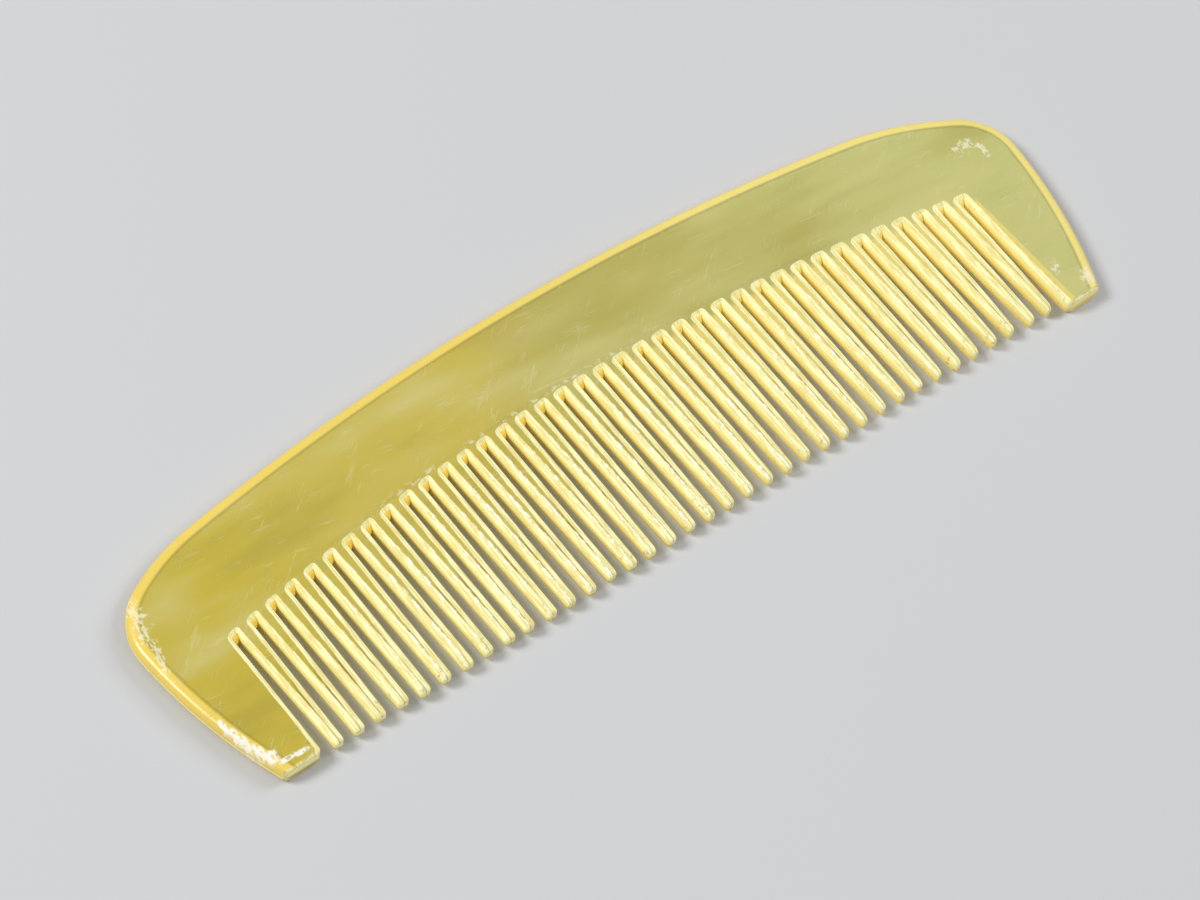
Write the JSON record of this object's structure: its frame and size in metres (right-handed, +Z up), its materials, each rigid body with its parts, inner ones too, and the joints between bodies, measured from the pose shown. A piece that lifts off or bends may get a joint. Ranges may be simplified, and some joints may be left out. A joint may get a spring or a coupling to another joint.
{
  "type": "pocket comb",
  "caption": "Flat pocket comb of translucent horn with an arched back, round shoulders and a row of fine tapered teeth between solid end guards.",
  "frame": {"origin": "under the middle of the comb, on the surface that it lies on", "axes": "+X along the comb, +Y from the tooth tips towards the arched back, +Z up through the plate"},
  "size_m": [0.12, 0.0352, 0.0024],
  "materials": {
    "horn": "polished translucent horn, honey yellow to grey green, with pale matt filed bevels on the teeth and a worn, scratched rim"
  },
  "bodies": {
    "root": {"comb": "horn"}
  },
  "joints": []
}
